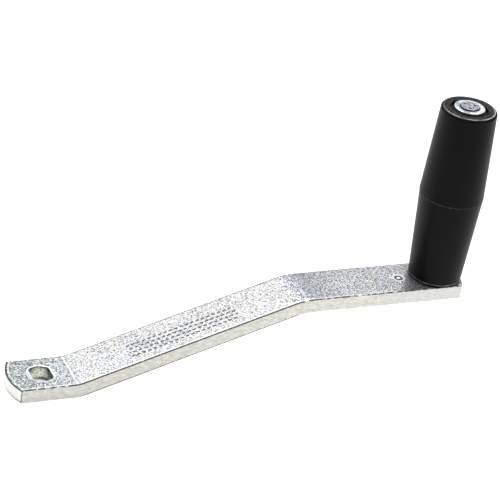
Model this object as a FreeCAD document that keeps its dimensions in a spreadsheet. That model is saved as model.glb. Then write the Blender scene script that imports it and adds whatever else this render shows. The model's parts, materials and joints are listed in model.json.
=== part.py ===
"""Hand crank: a cranked flat-bar arm with a double-D drive hole and a grip on a riveted spindle.

Frame, in millimetres: the origin is the drive hole's centre on the underside of the arm's drive end.
+X runs along the arm to the grip, +Z is up the grip, and Y is across the arm, which is symmetric
about Y = 0. The driving dimensions are the cells of the spreadsheet "dims".
"""
import FreeCAD, Part
import math
import os

import Sketcher

V = FreeCAD.Vector

DIMENSIONS = {
    # arm: flat bar with a joggle, its ends cropped to an arc
    "arm_width": 28.6,
    "arm_thickness": 8.0,
    "arm_rise": 39.5,
    "first_bend_at": 17.0,
    "second_bend_at": 142.0,
    "first_bend_radius": 16.0,
    "second_bend_radius": 40.0,
    "end_radius": 28.5,
    "drive_end_reach": 18.8,
    "grip_end_reach": 14.6,
    "bar_edge_radius": 0.4,
    "shear_rollover_radius": 0.8,
    # the two holes in the arm
    "centre_distance": 228.6,
    "drive_hole_diameter": 14.3,
    "drive_hole_flats": 11.1,
    "drive_hole_edge_radius": 0.4,
    "spindle_hole_diameter": 8.0,
    # fixed column that the grip turns on: base washer, sleeve, head washer, spindle
    "washer_diameter": 17.0,
    "washer_hole": 8.7,
    "washer_thickness": 2.0,
    "washer_edge_radius": 0.3,
    "sleeve_diameter": 12.7,
    "sleeve_bore": 8.3,
    "sleeve_length": 101.6,
    "sleeve_chamfer": 0.3,
    "spindle_diameter": 7.94,
    "spindle_foot_diameter": 13.5,
    "spindle_foot_height": 2.0,
    "spindle_foot_edge_radius": 0.9,
    "button_diameter": 10.8,
    "button_height": 0.8,
    "button_edge_radius": 0.35,
    "dimple_diameter": 1.5,
    "dimple_circle_radius": 2.9,
    "dimple_depth": 0.35,
    # grip: one black moulding, two tapers that meet at the mould's parting line
    "grip_floor_gap": 0.5,
    "grip_length": 104.3,
    "parting_height": 52.0,
    "grip_bottom_diameter": 29.8,
    "grip_lower_middle_diameter": 35.6,
    "grip_upper_middle_diameter": 36.0,
    "parting_shoulder": 0.4,
    "grip_top_diameter": 31.0,
    "grip_bottom_edge_radius": 1.0,
    "grip_top_edge_radius": 1.5,
    "grip_recess_edge_radius": 0.4,
    "running_clearance": 0.08,
    "end_play": 0.15,
    "top_recess_diameter": 20.4,
    "bottom_recess_diameter": 19.0,
}

# Construction margin of the cutting sketches past the bar's faces
CUT_MARGIN = 5.0

doc = FreeCAD.newDocument("hand_crank")
sheet = doc.addObject("Spreadsheet::Sheet", "dims")
for row, (alias, value) in enumerate(DIMENSIONS.items(), start=1):
    sheet.set(f"A{row}", alias)
    sheet.set(f"B{row}", str(value))
    sheet.setAlias(f"B{row}", alias)
doc.recompute()

# Expressions that more than one feature uses
ARM_TOP = "dims.arm_rise + dims.arm_thickness"
BASE_WASHER_TOP = f"{ARM_TOP} + dims.washer_thickness"
HEAD_WASHER_BOTTOM = f"{BASE_WASHER_TOP} + dims.sleeve_length"
HEAD_WASHER_TOP = f"{HEAD_WASHER_BOTTOM} + dims.washer_thickness"
GRIP_BOTTOM = f"{ARM_TOP} + dims.grip_floor_gap"


def size(expression):
    """The value of an expression over the sheet, in millimetres."""
    return float(sheet.evalExpression(expression.replace("dims.", "")))


def new_body(label):
    body = doc.addObject("PartDesign::Body", label)
    body.Label = label
    return body


def place(body, x="0", z="0"):
    """Put a body's own origin at x and z of the crank's frame."""
    body.setExpression("Placement.Base.x", x)
    body.setExpression("Placement.Base.z", z)


def new_sketch(body, name, role):
    """A sketch on one of the body's own origin planes."""
    plane = next(item for item in body.Origin.OriginFeatures if item.Role == role)
    sketch = body.newObject("Sketcher::SketchObject", name)
    sketch.AttachmentSupport = [(plane, "")]
    sketch.MapMode = "FlatFace"
    return sketch


def bind(sketch, constraint, expression):
    """Add a dimension to the sketch and bind it to an expression."""
    index = sketch.addConstraint(constraint)
    sketch.setExpression(f"Constraints[{index}]", expression)


def pin(sketch, geometry, point, direction, expression):
    """Hold one coordinate (DistanceX or DistanceY) of a sketch point at a signed expression."""
    value = size(expression)
    if abs(value) < 1e-9:
        axis = -2 if direction == "DistanceX" else -1
        sketch.addConstraint(Sketcher.Constraint("PointOnObject", geometry, point, axis))
    elif value > 0:
        bind(sketch, Sketcher.Constraint(direction, -1, 1, geometry, point, value), expression)
    else:
        flipped = Sketcher.Constraint(direction, geometry, point, -1, 1, -value)
        bind(sketch, flipped, f"-({expression})")


def polygon(sketch, corners):
    """A closed outline. Corners are pairs of expressions; an expression repeated by the next
    corner makes that edge vertical or horizontal."""
    points = [V(size(x), size(y), 0) for x, y in corners]
    count = len(points)
    edges = [sketch.addGeometry(Part.LineSegment(points[i], points[(i + 1) % count]), False)
             for i in range(count)]
    for i, edge in enumerate(edges):
        following = edges[(i + 1) % count]
        sketch.addConstraint(Sketcher.Constraint("Coincident", edge, 2, following, 1))
    for axis, direction, aligned in ((0, "DistanceX", "Vertical"), (1, "DistanceY", "Horizontal")):
        pin(sketch, edges[0], 1, direction, corners[0][axis])
        for i in range(1, count):
            if corners[i][axis] == corners[i - 1][axis]:
                sketch.addConstraint(Sketcher.Constraint(aligned, edges[i - 1]))
            elif i == count - 1 and corners[i][axis] == corners[0][axis]:
                sketch.addConstraint(Sketcher.Constraint(aligned, edges[i]))
            else:
                pin(sketch, edges[i], 1, direction, corners[i][axis])


def circle(sketch, diameter, x="0"):
    """A circle centred on the sketch's horizontal axis, at an expression for x."""
    geometry = Part.Circle(V(size(x), 0, 0), V(0, 0, 1), size(diameter) / 2)
    index = sketch.addGeometry(geometry, False)
    pin(sketch, index, 3, "DistanceX", x)
    sketch.addConstraint(Sketcher.Constraint("PointOnObject", index, 3, -1))
    bind(sketch, Sketcher.Constraint("Diameter", index, size(diameter)), diameter)


def revolve(body, name, corners):
    """Turn a closed outline, given as radius and height expressions, about the body's Z axis."""
    sketch = new_sketch(body, f"{name}_profile", "XZ_Plane")
    polygon(sketch, corners)
    feature = body.newObject("PartDesign::Revolution", name)
    feature.Profile = sketch
    feature.ReferenceAxis = (sketch, ["V_Axis"])
    feature.Angle = 360
    doc.recompute()


def pad(body, name, sketch, length, reversed_=False, symmetric=False):
    feature = body.newObject("PartDesign::Pad", name)
    feature.Profile = sketch
    feature.SideType = "Symmetric" if symmetric else "One side"
    feature.Reversed = reversed_
    feature.setExpression("Length", length)
    doc.recompute()


def cut_through(body, name, sketch):
    """Cut a sketch of the XY plane right through the body, upwards, and check that it cut."""
    volume_before = body.Shape.Volume
    feature = body.newObject("PartDesign::Pocket", name)
    feature.Profile = sketch
    feature.Type = "ThroughAll"
    feature.Reversed = True
    doc.recompute()
    assert body.Shape.Volume < volume_before, name


def dress(body, kind, name, test, amount):
    """Add a Fillet or a Chamfer to the edges of the body that pass the test, and check that it
    took material away."""
    base = body.Tip
    names = [f"Edge{i}" for i, edge in enumerate(base.Shape.Edges, start=1) if test(edge)]
    assert names, name
    feature = body.newObject(f"PartDesign::{kind}", name)
    feature.Base = (base, names)
    feature.setExpression("Radius" if kind == "Fillet" else "Size", amount)
    doc.recompute()
    assert feature.Shape.Volume < base.Shape.Volume, name


def near(value, expression):
    return abs(value - size(expression)) < 0.001


def rim(radius, height):
    """A test for the round edges of a radius at a height, both expressions."""
    return lambda edge: (isinstance(edge.Curve, Part.Circle) and near(edge.Curve.Radius, radius)
                         and near(edge.Curve.Center.z, height))


def arm_side_profile(sketch):
    """Side view of the bar: two horizontal ends joined by a slant, with an arc at each bend.
    The top and bottom arcs of a bend share their centre, so the bar keeps its thickness."""
    thickness = size("dims.arm_thickness")
    rise = size("dims.arm_rise")
    start = -size("dims.drive_end_reach")
    end = size("dims.centre_distance + dims.grip_end_reach")
    first = size("dims.first_bend_at")
    second = size("dims.second_bend_at")
    inner = size("dims.first_bend_radius")
    outer = size("dims.second_bend_radius")
    slope = math.atan2(rise, second - first)
    first_centre = V(first - inner * math.tan(slope / 2), thickness + inner, 0)
    second_centre = V(second + outer * math.tan(slope / 2), thickness + rise - outer, 0)
    across = V(math.sin(slope), -math.cos(slope), 0)
    down = V(0, -1, 0)

    def arc(centre, radius, bearing):
        """Arc whose ends lie below the centre, or above it for bearing -1."""
        ends = sorted(math.atan2(bearing * d.y, bearing * d.x) % (2 * math.pi)
                      for d in (down, across))
        return Part.ArcOfCircle(Part.Circle(centre, V(0, 0, 1), radius), *ends)

    def line(a, b):
        return Part.LineSegment(a, b)

    def add(shape):
        return sketch.addGeometry(shape, False)

    low_first = first_centre + down * (inner + thickness)
    low_slant_start = first_centre + across * (inner + thickness)
    low_slant_end = second_centre - across * (outer - thickness)
    low_second = second_centre - down * (outer - thickness)
    top_first = first_centre + down * inner
    top_slant_start = first_centre + across * inner
    top_slant_end = second_centre - across * outer
    top_second = second_centre - down * outer
    top_drive = add(line(V(start, thickness, 0), top_first))
    top_bend_1 = add(arc(first_centre, inner, 1))
    top_slant = add(line(top_slant_start, top_slant_end))
    top_bend_2 = add(arc(second_centre, outer, -1))
    top_grip = add(line(top_second, V(end, thickness + rise, 0)))
    grip_end = add(line(V(end, thickness + rise, 0), V(end, rise, 0)))
    low_grip = add(line(V(end, rise, 0), low_second))
    low_bend_2 = add(arc(second_centre, outer - thickness, -1))
    low_slant = add(line(low_slant_end, low_slant_start))
    low_bend_1 = add(arc(first_centre, inner + thickness, 1))
    low_drive = add(line(low_first, V(start, 0, 0)))
    drive_end = add(line(V(start, 0, 0), V(start, thickness, 0)))

    def join(kind, first_edge, first_point, second_edge, second_point):
        sketch.addConstraint(
            Sketcher.Constraint(kind, first_edge, first_point, second_edge, second_point))

    # an arc's point 1 is the end at its smaller angle
    for bend, before, after, before_point, after_point in (
            (top_bend_1, top_drive, top_slant, 2, 1), (low_bend_1, low_drive, low_slant, 1, 2)):
        join("Tangent", bend, 1, before, before_point)
        join("Tangent", bend, 2, after, after_point)
    for bend, before, after, before_point, after_point in (
            (top_bend_2, top_slant, top_grip, 2, 1), (low_bend_2, low_slant, low_grip, 1, 2)):
        join("Tangent", bend, 2, before, before_point)
        join("Tangent", bend, 1, after, after_point)
    join("Coincident", top_bend_1, 3, low_bend_1, 3)
    join("Coincident", top_bend_2, 3, low_bend_2, 3)
    for edge, following in ((top_grip, grip_end), (grip_end, low_grip),
                            (low_drive, drive_end), (drive_end, top_drive)):
        join("Coincident", edge, 2, following, 1)
    for edge in (top_drive, top_grip, low_grip, low_drive):
        sketch.addConstraint(Sketcher.Constraint("Horizontal", edge))
    for edge in (grip_end, drive_end):
        sketch.addConstraint(Sketcher.Constraint("Vertical", edge))

    # each bend is placed by the point where its two top lines would cross
    for flat, crossing, x in ((top_drive, V(first, thickness, 0), "dims.first_bend_at"),
                              (top_grip, V(second, thickness + rise, 0), "dims.second_bend_at")):
        corner = sketch.addGeometry(Part.Point(crossing), True)
        sketch.addConstraint(Sketcher.Constraint("PointOnObject", corner, 1, flat))
        sketch.addConstraint(Sketcher.Constraint("PointOnObject", corner, 1, top_slant))
        pin(sketch, corner, 1, "DistanceX", x)
    pin(sketch, drive_end, 1, "DistanceX", "-dims.drive_end_reach")
    pin(sketch, drive_end, 1, "DistanceY", "0")
    pin(sketch, drive_end, 2, "DistanceY", "dims.arm_thickness")
    pin(sketch, grip_end, 1, "DistanceX", "dims.centre_distance + dims.grip_end_reach")
    pin(sketch, grip_end, 1, "DistanceY", ARM_TOP)
    pin(sketch, grip_end, 2, "DistanceY", "dims.arm_rise")
    bind(sketch, Sketcher.Constraint("Radius", top_bend_1, inner), "dims.first_bend_radius")
    bind(sketch, Sketcher.Constraint("Radius", top_bend_2, outer), "dims.second_bend_radius")


def crop_end(body, name, apex, inward):
    """Crop one end of the bar to an arc whose apex is at the expression apex on the X axis.
    inward is +1 where the arc's centre lies towards +X."""
    sign = "+" if inward > 0 else "-"
    centre_x = f"{apex} {sign} dims.end_radius"
    radius = size("dims.end_radius")
    half_cut = size("dims.arm_width") / 2 + CUT_MARGIN
    swing = math.asin(half_cut / radius)
    middle = math.pi if inward > 0 else 0.0
    centre = V(size(centre_x), 0, 0)
    box_x = size(apex) - inward * CUT_MARGIN
    sketch = new_sketch(body, f"{name}_outline", "XY_Plane")
    arc = Part.ArcOfCircle(Part.Circle(centre, V(0, 0, 1), radius), middle - swing, middle + swing)
    # the arc turns anticlockwise, so it starts at +Y on the drive end and at -Y on the grip end
    side = 1 if inward > 0 else -1
    first = V(arc.StartPoint)
    last = V(arc.EndPoint)
    curve = sketch.addGeometry(arc, False)
    lines = [sketch.addGeometry(Part.LineSegment(a, b), False) for a, b in (
        (last, V(box_x, last.y, 0)),
        (V(box_x, last.y, 0), V(box_x, first.y, 0)),
        (V(box_x, first.y, 0), first))]
    chain = [curve] + lines
    for i, edge in enumerate(chain):
        following = chain[(i + 1) % len(chain)]
        sketch.addConstraint(Sketcher.Constraint("Coincident", edge, 2, following, 1))
    sketch.addConstraint(Sketcher.Constraint("Horizontal", lines[0]))
    sketch.addConstraint(Sketcher.Constraint("Vertical", lines[1]))
    sketch.addConstraint(Sketcher.Constraint("Horizontal", lines[2]))
    sketch.addConstraint(Sketcher.Constraint("PointOnObject", curve, 3, -1))
    pin(sketch, curve, 3, "DistanceX", centre_x)
    bind(sketch, Sketcher.Constraint("Radius", curve, radius), "dims.end_radius")
    for point, y_sign in ((1, side), (2, -side)):
        pin(sketch, curve, point, "DistanceY", f"{y_sign} * (dims.arm_width / 2 + {CUT_MARGIN})")
    pin(sketch, lines[1], 1, "DistanceX", f"{apex} - {inward * CUT_MARGIN}")
    cut_through(body, name, sketch)


def double_d(sketch):
    """A round hole with two flats. The flats face along the arm, the arcs across it."""
    radius = size("dims.drive_hole_diameter") / 2
    half_flats = size("dims.drive_hole_flats") / 2
    corner_y = math.sqrt(radius ** 2 - half_flats ** 2)
    swing = math.atan2(half_flats, corner_y)
    whole = Part.Circle(V(0, 0, 0), V(0, 0, 1), radius)
    far = sketch.addGeometry(
        Part.ArcOfCircle(whole, math.pi / 2 - swing, math.pi / 2 + swing), False)
    left = sketch.addGeometry(
        Part.LineSegment(V(-half_flats, corner_y, 0), V(-half_flats, -corner_y, 0)), False)
    near_arc = sketch.addGeometry(
        Part.ArcOfCircle(whole, 1.5 * math.pi - swing, 1.5 * math.pi + swing), False)
    right = sketch.addGeometry(
        Part.LineSegment(V(half_flats, -corner_y, 0), V(half_flats, corner_y, 0)), False)
    chain = [far, left, near_arc, right]
    for i, edge in enumerate(chain):
        following = chain[(i + 1) % len(chain)]
        sketch.addConstraint(Sketcher.Constraint("Coincident", edge, 2, following, 1))
    for arc in (far, near_arc):
        sketch.addConstraint(Sketcher.Constraint("Coincident", arc, 3, -1, 1))
    sketch.addConstraint(Sketcher.Constraint("Equal", far, near_arc))
    for flat in (left, right):
        sketch.addConstraint(Sketcher.Constraint("Vertical", flat))
    bind(sketch, Sketcher.Constraint("Radius", far, radius), "dims.drive_hole_diameter / 2")
    pin(sketch, right, 1, "DistanceX", "dims.drive_hole_flats / 2")
    pin(sketch, left, 1, "DistanceX", "-dims.drive_hole_flats / 2")


def on_crop_arc(edge):
    """True for the arcs that end the bar's top and bottom faces."""
    return (isinstance(edge.Curve, Part.Circle) and near(edge.Curve.Radius, "dims.end_radius")
            and near(abs(edge.Curve.Axis.z), "1"))


def on_lower_crop_arc(edge):
    height = edge.Vertexes[0].Z
    return on_crop_arc(edge) and (near(height, "0") or near(height, "dims.arm_rise"))


def on_bar_outline(edge):
    """True for every edge of the bar's two side faces, and for the crop arcs."""
    on_side = all(near(abs(point.Y), "dims.arm_width / 2") for point in edge.Vertexes)
    along = on_side and near(abs(edge.CenterOfMass.y), "dims.arm_width / 2")
    return along or on_crop_arc(edge)


def on_drive_hole_mouth(edge):
    """True for the drive hole's edges in the arm's top face."""
    reach = size("dims.drive_hole_diameter") / 2 + 0.01
    return all(near(point.Z, "dims.arm_thickness") and math.hypot(point.X, point.Y) < reach
               for point in edge.Vertexes)


def crank_arm():
    body = new_body("crank_arm")
    profile = new_sketch(body, "side_profile", "XZ_Plane")
    arm_side_profile(profile)
    pad(body, "bent_bar", profile, "dims.arm_width", symmetric=True)
    crop_end(body, "drive_end_crop", "-dims.drive_end_reach", 1)
    crop_end(body, "grip_end_crop", "dims.centre_distance + dims.grip_end_reach", -1)
    dress(body, "Fillet", "shear_rollover", on_lower_crop_arc, "dims.shear_rollover_radius")
    dress(body, "Fillet", "bar_edges", on_bar_outline, "dims.bar_edge_radius")
    drive_outline = new_sketch(body, "drive_hole_outline", "XY_Plane")
    double_d(drive_outline)
    cut_through(body, "drive_hole", drive_outline)
    dress(body, "Fillet", "drive_hole_mouth", on_drive_hole_mouth, "dims.drive_hole_edge_radius")
    spindle_outline = new_sketch(body, "spindle_hole_outline", "XY_Plane")
    circle(spindle_outline, "dims.spindle_hole_diameter", "dims.centre_distance")
    cut_through(body, "spindle_hole", spindle_outline)
    return body


def washer(label, height):
    """A punched flat washer, its outer edges rounded."""
    body = new_body(label)
    inner = "dims.washer_hole / 2"
    outer = "dims.washer_diameter / 2"
    revolve(body, "ring", [(inner, "0"), (outer, "0"), (outer, "dims.washer_thickness"),
                           (inner, "dims.washer_thickness")])
    dress(body, "Fillet", "punched_edge", rim(outer, "dims.washer_thickness"),
          "dims.washer_edge_radius")
    place(body, "dims.centre_distance", height)
    return body


def grip_sleeve():
    """The steel tube that the spindle clamps between the washers. The grip turns on it."""
    body = new_body("grip_sleeve")
    inner = "dims.sleeve_bore / 2"
    outer = "dims.sleeve_diameter / 2"
    revolve(body, "tube", [(inner, "0"), (outer, "0"), (outer, "dims.sleeve_length"),
                           (inner, "dims.sleeve_length")])
    for name, height in (("lower_end", "0"), ("upper_end", "dims.sleeve_length")):
        dress(body, "Chamfer", name, rim(outer, height), "dims.sleeve_chamfer")
    place(body, "dims.centre_distance", BASE_WASHER_TOP)
    return body


def grip():
    """The moulding: two tapers, widest at the parting line, round a bore, with a shallow recess
    in each end face that takes a washer. The lower half has a small shoulder at the parting line."""
    body = new_body("grip")
    bore = "dims.sleeve_diameter / 2 + dims.running_clearance"
    bottom_recess = "dims.bottom_recess_diameter / 2"
    top_recess = "dims.top_recess_diameter / 2"
    recess_ceiling = "dims.washer_thickness + dims.end_play - dims.grip_floor_gap"
    recess_floor = f"{HEAD_WASHER_BOTTOM} - dims.end_play - ({GRIP_BOTTOM})"
    revolve(body, "moulding", [
        (bottom_recess, "0"),
        ("dims.grip_bottom_diameter / 2", "0"),
        ("dims.grip_lower_middle_diameter / 2", "dims.parting_height - dims.parting_shoulder"),
        ("dims.grip_lower_middle_diameter / 2 - dims.parting_shoulder", "dims.parting_height"),
        ("dims.grip_upper_middle_diameter / 2", "dims.parting_height"),
        ("dims.grip_top_diameter / 2", "dims.grip_length"),
        (top_recess, "dims.grip_length"),
        (top_recess, recess_floor),
        (bore, recess_floor),
        (bore, recess_ceiling),
        (bottom_recess, recess_ceiling)])
    dress(body, "Fillet", "bottom_edge", rim("dims.grip_bottom_diameter / 2", "0"),
          "dims.grip_bottom_edge_radius")
    dress(body, "Fillet", "top_edge", rim("dims.grip_top_diameter / 2", "dims.grip_length"),
          "dims.grip_top_edge_radius")
    dress(body, "Fillet", "top_recess_edge", rim(top_recess, "dims.grip_length"),
          "dims.grip_recess_edge_radius")
    place(body, "dims.centre_distance", GRIP_BOTTOM)
    return body


def grip_spindle():
    """The long rivet through arm, washers and sleeve. Its foot is under the arm and its end is
    set over the head washer as a low button. Its own origin is in the arm's underside."""
    body = new_body("grip_spindle")
    shank = "dims.spindle_diameter / 2"
    foot = "dims.spindle_foot_diameter / 2"
    button = "dims.button_diameter / 2"
    button_bottom = f"{HEAD_WASHER_TOP} - dims.arm_rise"
    button_top = f"{button_bottom} + dims.button_height"
    revolve(body, "rivet", [
        ("0", "-dims.spindle_foot_height"),
        (foot, "-dims.spindle_foot_height"),
        (foot, "0"),
        (shank, "0"),
        (shank, button_bottom),
        (button, button_bottom),
        (button, button_top),
        ("0", button_top)])
    dress(body, "Fillet", "foot_edge", rim(foot, "-dims.spindle_foot_height"),
          "dims.spindle_foot_edge_radius")
    dress(body, "Fillet", "button_edge", rim(button, button_top), "dims.button_edge_radius")
    volume_before = body.Shape.Volume
    outline = new_sketch(body, "dimple_outline", "XY_Plane")
    outline.setExpression("AttachmentOffset.Base.z", button_top)
    circle(outline, "dims.dimple_diameter", "dims.dimple_circle_radius")
    dimple = body.newObject("PartDesign::Pocket", "dimple")
    dimple.Profile = outline
    dimple.setExpression("Length", "dims.dimple_depth")
    doc.recompute()
    ring = body.newObject("PartDesign::PolarPattern", "dimples")
    ring.Originals = [dimple]
    ring.Axis = (outline, ["N_Axis"])
    ring.Angle = 360
    ring.Occurrences = 3
    body.Tip = ring
    doc.recompute()
    assert body.Shape.Volume < volume_before
    place(body, "dims.centre_distance", "dims.arm_rise")
    return body


def export(parts):
    """Check every object and every sub-part's shape, then write one STEP file per sub-part."""
    doc.recompute()
    for item in doc.Objects:
        failed = {"Invalid", "Error"} & set(item.State)
        assert not failed, f"{item.Name} is {failed}"
    for part in parts:
        shape = part.Shape
        assert not shape.isNull() and shape.isValid() and shape.Solids, part.Label
    os.makedirs("parts", exist_ok=True)
    for part in parts:
        part.Shape.exportStep(f"parts/{part.Label}.step")
        print(part.Label, round(part.Shape.Volume, 1), part.Shape.BoundBox)


export([
    crank_arm(),
    washer("base_washer", ARM_TOP),
    grip_sleeve(),
    grip(),
    washer("head_washer", HEAD_WASHER_BOTTOM),
    grip_spindle(),
])
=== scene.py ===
"""Looks of the hand crank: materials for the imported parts, a white studio and the camera.

Places are in millimetres of the crank's frame: the origin is the drive hole's centre on the arm's
underside, +X runs along the arm to the grip, +Z is up the grip and -Y faces the camera. A mask is a
shader value from 0 to 1.
"""
import bpy
import json
import math
from functools import reduce
from mathutils import Matrix, Vector


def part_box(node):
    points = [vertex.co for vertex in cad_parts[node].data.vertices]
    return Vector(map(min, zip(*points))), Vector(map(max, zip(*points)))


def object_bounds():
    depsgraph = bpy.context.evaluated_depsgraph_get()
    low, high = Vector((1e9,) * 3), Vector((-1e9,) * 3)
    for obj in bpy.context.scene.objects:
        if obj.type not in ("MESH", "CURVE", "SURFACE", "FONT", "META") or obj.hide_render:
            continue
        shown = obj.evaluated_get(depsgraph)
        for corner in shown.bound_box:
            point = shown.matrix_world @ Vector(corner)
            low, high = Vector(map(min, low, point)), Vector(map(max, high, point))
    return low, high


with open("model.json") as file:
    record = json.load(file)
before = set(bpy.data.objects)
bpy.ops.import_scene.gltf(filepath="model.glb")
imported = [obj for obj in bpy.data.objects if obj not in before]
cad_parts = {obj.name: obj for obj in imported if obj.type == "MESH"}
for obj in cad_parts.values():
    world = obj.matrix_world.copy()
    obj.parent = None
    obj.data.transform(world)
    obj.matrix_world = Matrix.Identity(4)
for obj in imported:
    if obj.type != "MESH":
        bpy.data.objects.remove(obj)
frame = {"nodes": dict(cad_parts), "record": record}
cad_low, cad_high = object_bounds()

MM = 0.001

# Places on the object, taken from the frame
arm_low, arm_high = (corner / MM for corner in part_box("crank_arm"))
grip_low, grip_high = (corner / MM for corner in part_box("grip"))
GRIP_AXIS_X = (grip_low.x + grip_high.x) / 2
GRIP_TOP_Z = grip_high.z
SET_TOP_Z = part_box("grip_spindle")[1].z / MM
HALF_WIDTH = arm_high.y

# Driving sizes of the parts that their boxes don't show
THICKNESS = 8.0
END_RADIUS = 28.5
FIRST_BEND_X = 17.0
SECOND_BEND_X = 142.0
HOLE_RADIUS = 7.15
HOLE_FLAT_X = 5.55
SET_END_RADIUS = 5.4
PARTING_HEIGHT = 52.0

# Worked out from these. SLOPE_DROP is how far the slope's underside, carried on to the first bend,
# lies under the drive end's.
PARTING_Z = grip_low.z + PARTING_HEIGHT
SLOPE = (arm_high.z - THICKNESS) / (SECOND_BEND_X - FIRST_BEND_X)
SLOPE_DROP = THICKNESS * (math.hypot(1.0, SLOPE) - 1.0)
END_CENTRE = (arm_low.x + END_RADIUS, 0.0, 0.0)
CREASE_X = FIRST_BEND_X - 0.8


def rgb(red, green, blue):
    return (red, green, blue, 1.0)


# Zinc on the bar's wide faces
PALE_BLUISH = rgb(0.86, 0.89, 0.93)
PALE_YELLOWISH = rgb(0.93, 0.92, 0.89)
GRAIN_GREY = rgb(0.3, 0.3, 0.3)
# Stretch tones: a faint plating tint, and painted light and shade that make each stretch as bright as
# it looks under the light
SLOPE_START_TONE = rgb(0.77, 0.77, 0.77)
SLOPE_TONE = rgb(0.73, 0.725, 0.72)
GRIP_END_TONE = rgb(0.97, 0.98, 1.0)
DRIVE_END_TONE = rgb(0.95, 1.0, 1.0)
# Painted shade over the second bend
AFTER_BEND_SHADE = rgb(0.66, 0.67, 0.71)
# Painted reflection of the black grip and painted shade round its foot
FOOT_SHADE_TONE = rgb(0.50, 0.46, 0.58)
# Painted highlight: pale patches round the drive hole, by the near edge and along the drive end's edge
HIGHLIGHT_WHITE = rgb(0.97, 0.97, 0.97)
# Painted shade and painted highlight at the first bend's crease
CREASE_SHADE = rgb(0.35, 0.36, 0.38)
CREASE_HIGHLIGHT = rgb(0.98, 0.98, 0.98)
SPECK_DARK = rgb(0.09, 0.095, 0.11)
MARK_DARK = rgb(0.06, 0.065, 0.075)
# Painted dark reflection and shade along the edges
EDGE_SHADE = rgb(0.04, 0.04, 0.045)

# Zinc on its sides, its drive end and the wall of its drive hole
SIDE_DULL = rgb(0.44, 0.43, 0.385)
SIDE_CREAM = rgb(0.655, 0.65, 0.62)
SIDE_SPECK = rgb(0.25, 0.22, 0.20)
# Painted shade: the sides cooler towards the grip end
SIDE_COOL = rgb(0.50, 0.52, 0.54)
# Painted light: the drive end's face lighter than the sides
LIT_END_FACE = rgb(0.68, 0.71, 0.70)
TORN_DULL = rgb(0.32, 0.34, 0.27)
TORN_BRIGHT = rgb(0.86, 0.89, 0.77)
HOLE_FLAT_GREY = rgb(0.36, 0.41, 0.41)
# Painted shade in the drive hole's corners and under its rim
HOLE_SHADE = rgb(0.03, 0.03, 0.03)

# Fasteners, sleeve and grip
FASTENER_DULL = rgb(0.48, 0.52, 0.56)
FASTENER_BRIGHT = rgb(0.97, 0.97, 0.97)
SET_END_DARK = rgb(0.06, 0.06, 0.09)
SET_END_PALE = rgb(0.74, 0.74, 0.83)
# Painted reflection: a bluish patch towards the drive end
BLUISH_REFLECTION = rgb(0.28, 0.36, 0.41)
# Painted shade on the set end's rim and in its dimples
SET_END_SHADE = rgb(0.04, 0.04, 0.05)
STEEL_DARK = rgb(0.36, 0.36, 0.37)
STEEL_PALE = rgb(0.55, 0.55, 0.57)
PLASTIC_BLACK = rgb(0.0016, 0.0015, 0.0018)
PLASTIC_RUBBED = rgb(0.0036, 0.0033, 0.0036)
END_BLACK = rgb(0.003, 0.003, 0.0035)
END_SPECK = rgb(0.065, 0.06, 0.07)
NICK_GREY = rgb(0.12, 0.12, 0.12)
# Painted highlights on the grip's edges
EDGE_HIGHLIGHT = rgb(0.52, 0.48, 0.48)
# Painted shadow under the upper half's overhang at the parting line
PARTING_SHADOW = rgb(0.001, 0.001, 0.001)


BUMP_STRENGTH = 0.5


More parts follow.
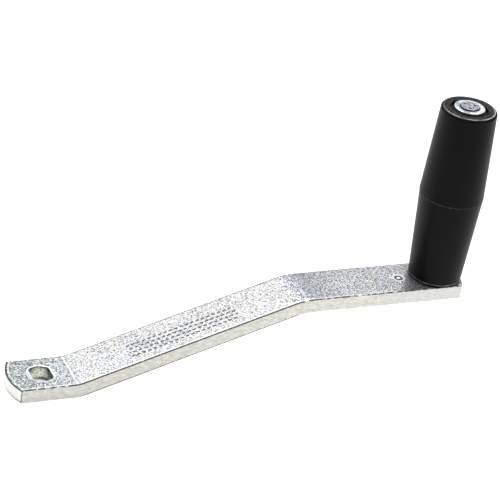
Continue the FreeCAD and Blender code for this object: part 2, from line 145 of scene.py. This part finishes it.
class Net:
    """Adds shader nodes to a node tree and links them. A value is a number, a tuple or an
    output socket of another node."""

    def __init__(self, tree):
        self.tree = tree
        tree.nodes.clear()

    def add(self, kind, values=None, **settings):
        """A node with its settings and the values of its named or numbered inputs."""
        node = self.tree.nodes.new(kind)
        for name, value in settings.items():
            setattr(node, name, value)
        for name, value in (values or {}).items():
            self.feed(node.inputs[name], value)
        return node

    def feed(self, socket, value):
        if isinstance(value, bpy.types.NodeSocket):
            self.tree.links.new(value, socket)
        else:
            socket.default_value = value

    def math(self, operation, first, second=0.0):
        return self.add("ShaderNodeMath", {0: first, 1: second}, operation=operation).outputs[0]

    def times(self, *values):
        return reduce(lambda first, second: self.math("MULTIPLY", first, second), values)

    def most(self, *values):
        return reduce(lambda first, second: self.math("MAXIMUM", first, second), values)

    def plus(self, *values):
        return reduce(lambda first, second: self.math("ADD", first, second), values)

    def minus(self, first, second):
        return self.math("SUBTRACT", first, second)

    def inverse(self, mask):
        return self.minus(1.0, mask)

    def size(self, value):
        """The value without its sign."""
        return self.math("ABSOLUTE", value)

    def remap(self, value, low, high, to_low=0.0, to_high=1.0):
        """Smooth step from to_low at low to to_high at high."""
        values = {"Value": value, "From Min": low, "From Max": high,
                  "To Min": to_low, "To Max": to_high}
        return self.add("ShaderNodeMapRange", values,
                        interpolation_type="SMOOTHSTEP").outputs["Result"]

    def band(self, value, centre, half_width, softness):
        """1 where value is within half_width of centre, 0 outside, with a soft border."""
        away = self.size(self.minus(value, centre))
        return self.remap(away, half_width + softness, half_width - softness)

    def noise(self, vector, scale, detail=2.0, roughness=0.5):
        values = {"Vector": vector, "Scale": scale, "Detail": detail, "Roughness": roughness}
        return self.add("ShaderNodeTexNoise", values).outputs["Fac"]

    def from_cell_points(self, vector, scale):
        """Distance to the nearest of many scattered points, in units of their spacing."""
        values = {"Vector": vector, "Scale": scale}
        return self.add("ShaderNodeTexVoronoi", values, feature="F1").outputs["Distance"]

    def stretch(self, vector, x, y, z):
        return self.add("ShaderNodeVectorMath", {0: vector, 1: (x, y, z)},
                        operation="MULTIPLY").outputs[0]

    def shift(self, vector, origin):
        return self.add("ShaderNodeVectorMath", {0: vector, 1: origin},
                        operation="SUBTRACT").outputs[0]

    def length(self, vector):
        return self.add("ShaderNodeVectorMath", {0: vector}, operation="LENGTH").outputs["Value"]

    def vector(self, **parts):
        """A vector of the given X, Y and Z parts. A part left out is 0."""
        return self.add("ShaderNodeCombineXYZ", parts).outputs[0]

    def split(self, vector):
        """The vector's x, y and z parts."""
        parts = self.add("ShaderNodeSeparateXYZ", {0: vector}).outputs
        return parts["X"], parts["Y"], parts["Z"]

    def blend(self, factor, first, second, mode="MIX"):
        """first where factor is 0, second where it is 1."""
        node = self.add("ShaderNodeMix", {"Factor": factor}, data_type="RGBA", blend_type=mode)
        colours = [socket for socket in node.inputs if socket.type == "RGBA"]
        self.feed(colours[0], first)
        self.feed(colours[1], second)
        return next(socket for socket in node.outputs if socket.type == "RGBA")

    def tint(self, factor, colour, tone):
        """colour times tone, where factor is 1."""
        return self.blend(factor, colour, tone, "MULTIPLY")

    def bump(self, height, distance):
        """Bump from a height. distance is what a height of 1 stands for, in millimetres."""
        values = {"Height": height, "Distance": distance * MM, "Strength": BUMP_STRENGTH}
        return self.add("ShaderNodeBump", values).outputs["Normal"]

    def millimetres(self):
        """Object coordinates in millimetres."""
        place = self.add("ShaderNodeTexCoord").outputs["Object"]
        return self.stretch(place, 1 / MM, 1 / MM, 1 / MM)

    def object_normal(self):
        """The normal's x, y and z parts in the object's own axes."""
        return self.split(self.add("ShaderNodeTexCoord").outputs["Normal"])

    def surface(self, fixed, varied):
        """Principled BSDF: fixed holds plain socket values, varied holds linked ones."""
        shader = self.add("ShaderNodeBsdfPrincipled", {**fixed, **varied})
        self.add("ShaderNodeOutputMaterial", {"Surface": shader.outputs["BSDF"]})


def new_material(name):
    material = bpy.data.materials.new(name)
    material.use_nodes = True
    return material, Net(material.node_tree)


def from_grip_axis(net, place):
    """Distance from the grip's axis and the offset from it along the arm."""
    away = net.stretch(net.shift(place, (GRIP_AXIS_X, 0.0, 0.0)), 1.0, 1.0, 0.0)
    return net.length(away), net.split(away)[0]


class BarPlace:
    """Where a point of the bar lies: its coordinates, its normal and masks of the bar's regions."""

    def __init__(self, net):
        self.place = net.millimetres()
        self.x, self.y, self.z = net.split(self.place)
        self.facing_x, self.facing_y, self.facing_z = net.object_normal()
        self.wide_face = net.remap(net.size(self.facing_z), 0.45, 0.75)
        self.drive_end = net.remap(self.x, FIRST_BEND_X, FIRST_BEND_X - 8.0)
        self.grip_end = net.remap(self.x, SECOND_BEND_X - 6.0, SECOND_BEND_X)
        self.on_slope = net.minus(net.inverse(self.drive_end), self.grip_end)
        level = net.stretch(self.place, 1.0, 1.0, 0.0)
        self.from_hole = net.length(level)
        upright = net.remap(net.size(self.facing_z), 0.5, 0.3)
        self.in_hole = net.times(net.remap(self.from_hole, HOLE_RADIUS + 0.45, HOLE_RADIUS + 0.15),
                                 upright)
        self.from_end_centre = net.length(net.shift(level, END_CENTRE))
        self.drive_end_tip = net.remap(self.x, 0.0, -4.0)


RING_X = 206.0
RING_RADIUS = 1.9
RING_HALF_LINE = 0.65

# The block of dashes. A dash's half length, the stagger from row to row and a row's half width are
# parts of a pitch.
BLOCK_X = 78.0
BLOCK_Y = -2.0
BLOCK_HALF_LENGTH = 30.0
BLOCK_HALF_WIDTH = 6.4
DASH_PITCH = 3.0
DASH_HALF_LENGTH = 0.3
DASH_STAGGER = 0.33
ROW_START_Y = -50.0
ROW_PITCH = 3.2
ROW_HALF_WIDTH = 0.17


def from_ring_centre(net, bar):
    """Distance from the centre of the plain ring near the grip."""
    return net.length(net.vector(X=net.minus(bar.x, RING_X), Y=bar.y))


def ring_patch(net, bar):
    """A brighter patch round the ring."""
    patch = net.remap(from_ring_centre(net, bar), RING_RADIUS + 2.5, RING_RADIUS + 1.1, 0.0, 0.9)
    return net.times(patch, bar.grip_end)


def punched_dashes(net, bar):
    """Staggered rows of plain punched dashes on the slope."""
    row = net.math("DIVIDE", net.minus(bar.y, ROW_START_Y), ROW_PITCH)
    stagger = net.times(net.math("FLOOR", row), DASH_STAGGER)
    step = net.plus(net.math("DIVIDE", bar.x, DASH_PITCH), stagger)
    along = net.band(net.math("FRACT", step), 0.5, DASH_HALF_LENGTH, 0.06)
    across = net.band(net.math("FRACT", row), 0.5, ROW_HALF_WIDTH, 0.08)
    block = net.times(net.band(bar.x, BLOCK_X, BLOCK_HALF_LENGTH, 0.2),
                      net.band(bar.y, BLOCK_Y, BLOCK_HALF_WIDTH, 0.2))
    return net.times(block, along, across)


def punched_marks(net, bar):
    """1 in a dash or in the ring, on the slope's and the grip end's top faces only."""
    ring = net.band(from_ring_centre(net, bar), RING_RADIUS, RING_HALF_LINE, 0.2)
    top_face = net.remap(bar.facing_z, 0.45, 0.75)
    above_drive_end = net.remap(bar.z, THICKNESS, THICKNESS + 3.0)
    return net.times(net.most(punched_dashes(net, bar), ring), top_face, above_drive_end)


def highlight_patches(net, bar):
    """Painted highlights, with few specks: round the drive hole, beside the near edge and along the
    drive end's edge, and a brighter patch round the ring."""
    round_hole = net.remap(bar.from_hole, HOLE_RADIUS + 1.45, HOLE_RADIUS + 0.75)
    near_strip = net.band(bar.y, 1.35 - HALF_WIDTH, 0.3, 0.25)
    end_strip = net.times(net.band(bar.from_end_centre, END_RADIUS - 1.8, 0.35, 0.3),
                          bar.drive_end_tip)
    return net.most(net.times(round_hole, 0.6), net.times(near_strip, 0.85), net.times(end_strip, 0.7),
                    ring_patch(net, bar))


def dark_specks(net, bar, highlit):
    """Dark specks on the wide faces: fine ones everywhere, coarse ones at the drive end."""
    crowding = net.noise(bar.place, 0.12)
    threshold = net.plus(net.remap(crowding, 0.3, 0.7, 0.435, 0.45), net.times(bar.drive_end, 0.042),
                         net.times(bar.grip_end, 0.042))
    fine = net.noise(bar.place, 1.05, 2.0, 0.65)
    coarse = net.noise(net.stretch(bar.place, 0.85, 1.1, 1.0), 1.15, 3.0, 0.7)
    fine_speck = net.remap(net.minus(threshold, fine), -0.01, 0.06)
    coarse_speck = net.remap(net.minus(threshold, coarse), 0.0, 0.03)
    coarse_share = net.times(bar.drive_end, net.remap(bar.x, 8.0, -8.0, 0.35, 1.0))
    speck = net.most(fine_speck, net.times(coarse_speck, coarse_share))
    return net.times(speck, net.inverse(highlit), bar.wide_face)


def grained_zinc(net, bar):
    """A fine light and dark grain, faintly bluish or yellowish."""
    drift = net.noise(bar.place, 0.16, 3.0, 0.6)
    pale = net.blend(net.remap(drift, 0.4, 0.6), PALE_BLUISH, PALE_YELLOWISH)
    grain = net.noise(bar.place, 1.15, 1.0)
    return net.blend(net.remap(grain, 0.38, 0.58), net.blend(0.6, pale, GRAIN_GREY), pale)


def wide_face_colour(net, bar, highlit):
    """Zinc of the wide faces, with a tone for each stretch of the bar: a faint plating tint and
    painted light and shade. Painted shade darkens it after the second bend, and a painted reflection
    of the black grip with painted shade darkens it round the grip's foot."""
    slope_tone = net.blend(net.remap(bar.x, 20.0, 60.0), SLOPE_START_TONE, SLOPE_TONE)
    # Painted shade over the second bend
    shaded_bend = net.times(net.remap(bar.x, SECOND_BEND_X - 6.0, SECOND_BEND_X + 1.0),
                           net.remap(bar.x, SECOND_BEND_X + 34.0, SECOND_BEND_X + 4.0))
    grip_reach = from_grip_axis(net, bar.place)[0]
    # Painted reflection of the black grip and painted shade round its foot
    foot_shade = net.remap(grip_reach, 20.0, 14.5, 0.0, 0.75)
    # Painted light and shade: a tone for each stretch
    colour = net.tint(bar.on_slope, grained_zinc(net, bar), slope_tone)
    colour = net.tint(bar.grip_end, colour, GRIP_END_TONE)
    colour = net.tint(bar.drive_end, colour, DRIVE_END_TONE)
    colour = net.tint(net.times(shaded_bend, 0.8), colour, AFTER_BEND_SHADE)
    colour = net.tint(foot_shade, colour, FOOT_SHADE_TONE)
    # Painted highlights round the drive hole, by the near edge and along the drive end's edge
    colour = net.blend(highlit, colour, HIGHLIGHT_WHITE)
    return with_crease_light(net, bar, colour)


def with_crease_light(net, bar, colour):
    """The first bend's crease in painted light: a painted highlight stripe with painted shade on each
    side.
    """
    crease = net.band(bar.x, CREASE_X, 1.7, 0.5)
    stripe = net.band(bar.x, CREASE_X, 0.5, 0.35)
    colour = net.blend(net.times(crease, 0.5), colour, CREASE_SHADE)
    return net.blend(net.times(stripe, 0.85), colour, CREASE_HIGHLIGHT)


def side_colour(net, bar):
    """Creamy sides with a lengthwise grain, greyer towards the drive end, with painted shade making
    them cooler at the grip end, and the drive end's face painted lighter as it catches more light.
    """
    grain = net.noise(net.stretch(bar.place, 0.3, 1.0, 1.0), 1.1, 4.0, 0.6)
    speck = net.remap(net.noise(bar.place, 1.2, 2.0, 0.6), 0.40, 0.34)
    end_face_light = net.times(net.remap(net.size(bar.facing_x), 0.6, 0.85), bar.drive_end)
    colour = net.blend(net.remap(grain, 0.3, 0.7), SIDE_DULL, SIDE_CREAM)
    colour = net.blend(net.times(speck, 0.5), colour, SIDE_SPECK)
    colour = net.blend(net.remap(bar.x, 0.0, 200.0), net.blend(0.25, colour, GRAIN_GREY), colour)
    # Painted shade: cooler towards the grip end
    colour = net.blend(net.remap(bar.x, 165.0, 215.0, 0.0, 0.5), colour, SIDE_COOL)
    # The drive end's face painted lighter, as lit
    return net.blend(net.times(end_face_light, 0.8), colour, LIT_END_FACE)


def hole_wall_colour(net, bar):
    """The drive hole's torn wall: grey flats, and painted shade in its corners and in a line under the
    rim.
    """
    off_middle = net.size(bar.x)
    torn = net.noise(bar.place, 1.1, 3.0, 0.65)
    flats = net.remap(off_middle, HOLE_FLAT_X - 2.95, HOLE_FLAT_X - 0.95, 0.0, 0.85)
    under_rim = net.remap(bar.z, THICKNESS - 1.5, THICKNESS - 0.9)
    corner = net.times(net.remap(off_middle, HOLE_FLAT_X - 0.95, HOLE_FLAT_X - 0.35),
                       net.remap(bar.z, THICKNESS - 5.0, THICKNESS - 1.5))
    # Painted shade under the rim and in the corners
    dark = net.most(net.times(under_rim, 0.75), corner)
    colour = net.blend(net.remap(torn, 0.40, 0.52), TORN_DULL, TORN_BRIGHT)
    colour = net.blend(flats, colour, HOLE_FLAT_GREY)
    return net.blend(net.times(dark, 0.9), colour, HOLE_SHADE)


def near_edge(net, bar):
    """The camera side's long edges: their rounding and a strip of the wide face beside it. The lower
    one is fainter, but less so on the slope."""
    rounding = net.times(net.remap(net.size(bar.facing_y), 0.9995, 0.985),
                         net.remap(bar.facing_y, 0.0, -0.1),
                         net.remap(bar.y, 1.2 - HALF_WIDTH, 0.9 - HALF_WIDTH),
                         net.remap(net.size(bar.facing_x), 0.6, 0.4))
    strip = net.times(net.remap(bar.y, 1.0 - HALF_WIDTH, 0.75 - HALF_WIDTH), bar.wide_face)
    lower_edge_loss = net.times(net.remap(bar.facing_z, 0.0, -0.1),
                                net.remap(bar.on_slope, 0.0, 1.0, 0.8, 0.25))
    return net.times(net.most(rounding, strip), net.inverse(lower_edge_loss))


def far_edge(net, bar):
    """A strip of the top face along its far edge."""
    return net.times(net.remap(bar.y, HALF_WIDTH - 1.1, HALF_WIDTH - 0.8),
                     net.remap(bar.facing_z, 0.2, 0.5, 0.0, 0.75))


def under_slope_line(net, bar):
    """A line on the camera side's face along the slope's lower edge."""
    rise = net.times(net.minus(bar.x, FIRST_BEND_X), SLOPE)
    above_underside = net.minus(net.plus(bar.z, SLOPE_DROP), rise)
    return net.times(net.remap(above_underside, 0.95, 0.6), bar.on_slope,
                     net.remap(bar.facing_y, -0.3, -0.6, 0.0, 0.95))


def drive_end_edges(net, bar):
    """The drive end's top edge, wider on the far side, and the low edge and the near corner of its
    end face."""
    inner_radius = net.remap(bar.y, 6.0, -8.0, END_RADIUS - 1.0, END_RADIUS - 0.4)
    top_edge = net.times(net.remap(net.minus(bar.from_end_centre, inner_radius), -0.1, 0.15),
                         net.remap(bar.z, THICKNESS - 0.9, THICKNESS - 0.6),
                         bar.drive_end_tip)
    low_edge = net.times(net.remap(bar.z, 1.3, 1.0), 0.8)
    corner = net.remap(bar.y, 0.6 - HALF_WIDTH, 0.4 - HALF_WIDTH, 0.0, 0.8)
    on_end_face = net.remap(bar.facing_x, -0.1, -0.3)
    return net.most(top_edge, net.times(net.most(low_edge, corner), on_end_face))


def painted_edge_lines(net, bar):
    """Dark lines painted on the edges, standing in for the dark reflection and the shade at their
    rounding. The long ones are broken, less so on the slope.
    """
    gaps = net.plus(net.noise(bar.place, 0.35, 3.0, 0.6), net.times(bar.on_slope, 0.16))
    long_edges = net.most(near_edge(net, bar), under_slope_line(net, bar), far_edge(net, bar))
    return net.most(net.times(long_edges, net.remap(gaps, 0.42, 0.55)), drive_end_edges(net, bar))


def zinc_bar():
    """Bright zinc over hot-rolled bar: dark specks on the wide faces, smooth creamy sides, dark lines
    painted on the edges for their dark reflection and shade, a torn wall in the drive hole, a plain
    block of punched dashes and a ring."""
    material, net = new_material("zinc_plated_bar")
    bar = BarPlace(net)
    highlit = highlight_patches(net, bar)
    speck = dark_specks(net, bar, highlit)
    mark = punched_marks(net, bar)
    sides = net.blend(bar.in_hole, side_colour(net, bar), hole_wall_colour(net, bar))
    colour = net.blend(bar.wide_face, sides, wide_face_colour(net, bar, highlit))
    colour = net.blend(net.times(speck, 0.9), colour, SPECK_DARK)
    colour = net.blend(net.times(mark, 0.95), colour, MARK_DARK)
    # Painted dark reflection and shade along the edges
    colour = net.blend(net.times(painted_edge_lines(net, bar), 0.93), colour, EDGE_SHADE)
    metallic = net.remap(bar.in_hole, 0.0, 1.0, 0.9, 0.7)
    roughness = net.plus(net.remap(bar.grip_end, 0.0, 1.0, 0.22, 0.2),
                         net.times(net.noise(bar.place, 0.5, 3.0), 0.14),
                         net.times(speck, 0.2))
    waviness = net.times(net.noise(bar.place, 0.35, 3.0), 0.8)
    height = net.minus(net.minus(waviness, speck), net.times(mark, 2.0))
    net.surface({}, {"Base Color": colour, "Metallic": metallic, "Roughness": roughness,
                     "Normal": net.bump(height, 0.08)})
    return material


def zinc_fastener():
    """Bright zinc with turning marks round the axis and a painted bluish reflection towards the drive
    end. The spindle's set end is greyer and blotched, with painted shade on its rim and in its
    dimples."""
    material, net = new_material("zinc_plated_fastener")
    place = net.millimetres()
    z = net.split(place)[2]
    radius, offset = from_grip_axis(net, place)
    turning = net.noise(net.vector(X=radius, Z=z), 3.0, 3.0, 0.6)
    mottle = net.noise(place, 1.0, 3.0, 0.65)
    blotches = net.noise(place, 1.3, 2.0, 0.6)
    set_end = net.times(net.remap(radius, SET_END_RADIUS + 0.1, SET_END_RADIUS - 0.3),
                        net.remap(z, GRIP_TOP_Z, GRIP_TOP_Z + 1.0))
    # Painted reflection of the dark surroundings, bluish, towards the drive end
    reflection_patch = net.times(net.band(offset, -5.0, 1.5, 0.8), net.remap(mottle, 0.3, 0.55, 0.6, 1.0))
    # Painted shade round the set end's rim and in its dimples
    rim = net.times(net.band(radius, SET_END_RADIUS + 0.1, 0.3, 0.12), 0.9)
    dimple = net.times(net.remap(radius, SET_END_RADIUS - 0.7, SET_END_RADIUS - 1.0),
                       net.remap(z, SET_TOP_Z - 0.02, SET_TOP_Z - 0.06))
    dark = net.times(net.most(rim, dimple), net.remap(z, GRIP_TOP_Z, GRIP_TOP_Z + 0.5))
    bright = net.blend(net.remap(mottle, 0.40, 0.56), FASTENER_DULL, FASTENER_BRIGHT)
    blotched = net.blend(net.remap(blotches, 0.45, 0.56), SET_END_DARK, SET_END_PALE)
    colour = net.blend(set_end, bright, blotched)
    colour = net.blend(net.times(reflection_patch, 0.8), colour, BLUISH_REFLECTION)
    colour = net.blend(dark, colour, SET_END_SHADE)
    roughness = net.plus(0.2, net.times(turning, 0.2))
    net.surface({"Metallic": 0.95}, {"Base Color": colour, "Roughness": roughness,
                                     "Normal": net.bump(net.plus(turning, mottle), 0.03)})
    return material


def drawn_steel():
    """Oiled drawn tube with lengthwise draw lines."""
    material, net = new_material("plain_steel")
    lines = net.noise(net.stretch(net.millimetres(), 3.0, 3.0, 0.08), 1.0, 3.0, 0.6)
    colour = net.blend(net.remap(lines, 0.3, 0.7), STEEL_DARK, STEEL_PALE)
    roughness = net.plus(0.25, net.times(lines, 0.2))
    net.surface({"Metallic": 1.0}, {"Base Color": colour, "Roughness": roughness,
                                    "Normal": net.bump(lines, 0.02)})
    return material


GRIP_RIM_RADIUS = 14.1


def grip_edge_highlights(net, place, near_top):
    """Painted highlights on the grip's edges: the top edge, most of all on the camera's side, the
    shoulder at the parting line and the foot."""
    y, z = net.split(place)[1:]
    radius = from_grip_axis(net, place)[0]
    top_edge = net.times(net.band(radius, GRIP_RIM_RADIUS, 0.3, 0.15), near_top,
                         net.remap(y, 8.0, -6.0, 0.2, 1.0))
    shoulder = net.band(z, PARTING_Z - 0.25, 0.12, 0.08)
    foot = net.band(z, grip_low.z + 1.0, 0.2, 0.15)
    highlights = net.most(top_edge, net.times(net.most(shoulder, foot), 0.65))
    return net.times(highlights, net.remap(net.noise(place, 0.3), 0.3, 0.6, 0.3, 1.0))


def black_plastic():
    """Satin black moulding: fine grain, faint rubbed streaks, a speckled top face, a few nicks,
    painted highlights on its edges and a painted shadow line at the parting line."""
    material, net = new_material("black_moulded_plastic")
    place = net.millimetres()
    z = net.split(place)[2]
    facing_z = net.object_normal()[2]
    near_top = net.remap(z, GRIP_TOP_Z - 0.6, GRIP_TOP_Z - 0.3)
    top_face = net.times(net.remap(facing_z, 0.8, 0.95), near_top)
    handling = net.noise(net.stretch(place, 1.0, 1.0, 0.35), 0.09, 3.0, 0.55)
    speckle = net.remap(net.noise(place, 1.1, 2.0, 0.6), 0.48, 0.66)
    nick = net.remap(net.from_cell_points(net.stretch(place, 1.0, 1.0, 0.6), 0.09), 0.075, 0.05)
    parting_shadow = net.band(z, PARTING_Z + 0.05, 0.1, 0.1)
    colour = net.blend(net.remap(handling, 0.35, 0.65), PLASTIC_BLACK, PLASTIC_RUBBED)
    colour = net.blend(top_face, colour, net.blend(speckle, END_BLACK, END_SPECK))
    colour = net.blend(net.times(nick, 0.6), colour, NICK_GREY)
    # Painted highlights on the grip's edges
    colour = net.blend(net.times(grip_edge_highlights(net, place, near_top), 0.9), colour, EDGE_HIGHLIGHT)
    # Painted shadow under the upper half's overhang at the parting line
    colour = net.blend(parting_shadow, colour, PARTING_SHADOW)
    roughness = net.plus(0.36, net.times(handling, 0.14))
    net.surface({"Metallic": 0.0, "Specular IOR Level": 0.09},
                {"Base Color": colour, "Roughness": roughness,
                 "Normal": net.bump(net.noise(place, 2.2), 0.015)})
    return material


def dress_nodes():
    """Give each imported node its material."""
    finishes = {
        "zinc_plated_bar": zinc_bar(),
        "zinc_plated_fastener": zinc_fastener(),
        "plain_steel": drawn_steel(),
        "black_moulded_plastic": black_plastic(),
    }
    for subpart in frame["record"]["subparts"]:
        node = frame["nodes"][subpart["node"]]
        node.data.materials.clear()
        node.data.materials.append(finishes[subpart["material_slot"]])


FLOOR_SIZE = 8.0
FLOOR_WHITE = rgb(0.6, 0.6, 0.6)
GLOW_TINT = rgb(1.0, 1.0, 0.94)
OPEN_GLOW = 0.8
HOLE_GLOW = 0.5


def add_floor():
    """A plain white floor, overexposed as in a studio: part of its light is a glow. The glow is
    weaker inside the drive hole and nil under its rim, where the arm would shade the floor."""
    bpy.ops.mesh.primitive_plane_add(size=FLOOR_SIZE, location=(0.0, 0.0, cad_low.z))
    floor = bpy.context.object
    floor.name = "floor"
    material, net = new_material("studio_white")
    away = net.length(net.millimetres())
    hole_glow = net.remap(away, HOLE_RADIUS - 0.35, HOLE_RADIUS - 2.55, 0.0, HOLE_GLOW)
    open_glow = net.remap(away, HOLE_RADIUS + 0.85, HOLE_RADIUS + 3.85, 0.0, OPEN_GLOW)
    net.surface({"Base Color": FLOOR_WHITE, "Roughness": 0.9, "Emission Color": GLOW_TINT},
                {"Emission Strength": net.plus(hole_glow, open_glow)})
    floor.data.materials.append(material)


def look_from(direction, distance, target):
    """Matrix of a light or camera that looks at target from a direction, level with the floor."""
    back = Vector(direction).normalized()
    turn = (-back).to_track_quat("-Z", "Y").to_matrix().to_4x4()
    return Matrix.Translation(target + back * distance) @ turn


def add_softbox(name, direction, distance, width, height, radiance):
    """A white area light aimed at the object's middle. radiance is how bright its face is."""
    light = bpy.data.lights.new(name, "AREA")
    light.shape = "RECTANGLE"
    light.size = width
    light.size_y = height
    light.energy = radiance * math.pi * width * height
    lamp = bpy.data.objects.new(name, light)
    bpy.context.scene.collection.objects.link(lamp)
    lamp.matrix_world = look_from(direction, distance, (cad_low + cad_high) / 2)


SKY = rgb(0.95, 0.97, 1.0)
SKY_STRENGTH = 0.2


def add_lights():
    """A broad softbox behind, a narrower one in front, a small key overhead and a faint even sky."""
    add_softbox("back_softbox", (0.1, 0.39, 0.92),
                distance=1.0, width=2.0, height=1.44, radiance=1.9)
    add_softbox("front_softbox", (0.1, -0.56, 0.83),
                distance=1.0, width=2.0, height=0.77, radiance=0.9)
    add_softbox("key", (-0.1, 0.12, 0.98), distance=0.98, width=0.25, height=0.25, radiance=8.0)
    world = bpy.data.worlds.new("studio")
    bpy.context.scene.world = world
    world.use_nodes = True
    net = Net(world.node_tree)
    sky = net.add("ShaderNodeBackground", {"Color": SKY, "Strength": SKY_STRENGTH})
    net.add("ShaderNodeOutputWorld", {"Surface": sky.outputs["Background"]})


# Camera: angles in degrees, lens and sensor in millimetres, distances in metres
CAMERA_AZIMUTH = -27.47
CAMERA_ELEVATION = 29.25
CAMERA_ROLL = 9.43
CAMERA_DISTANCE = 1.194
CAMERA_LENS = 160.6
SENSOR_WIDTH = 36.0
CLIP_START = 0.05
CLIP_END = 50.0
FRAME_CENTRE = Vector((0.111, 0.0, 0.074))


def add_camera():
    """The camera looks down along the crank from the near left, rolled a little."""
    azimuth = math.radians(CAMERA_AZIMUTH)
    elevation = math.radians(CAMERA_ELEVATION)
    back = (math.sin(azimuth) * math.cos(elevation), -math.cos(azimuth) * math.cos(elevation),
            math.sin(elevation))
    lens = bpy.data.cameras.new("camera")
    lens.lens = CAMERA_LENS
    lens.sensor_width = SENSOR_WIDTH
    lens.clip_start = CLIP_START
    lens.clip_end = CLIP_END
    camera = bpy.data.objects.new("camera", lens)
    bpy.context.scene.collection.objects.link(camera)
    roll = Matrix.Rotation(math.radians(CAMERA_ROLL), 4, "Z")
    camera.matrix_world = look_from(back, CAMERA_DISTANCE, FRAME_CENTRE) @ roll
    bpy.context.scene.camera = camera


def set_exposure():
    view = bpy.context.scene.view_settings
    view.view_transform = "Standard"
    view.look = "None"


dress_nodes()
add_floor()
add_lights()
add_camera()
set_exposure()
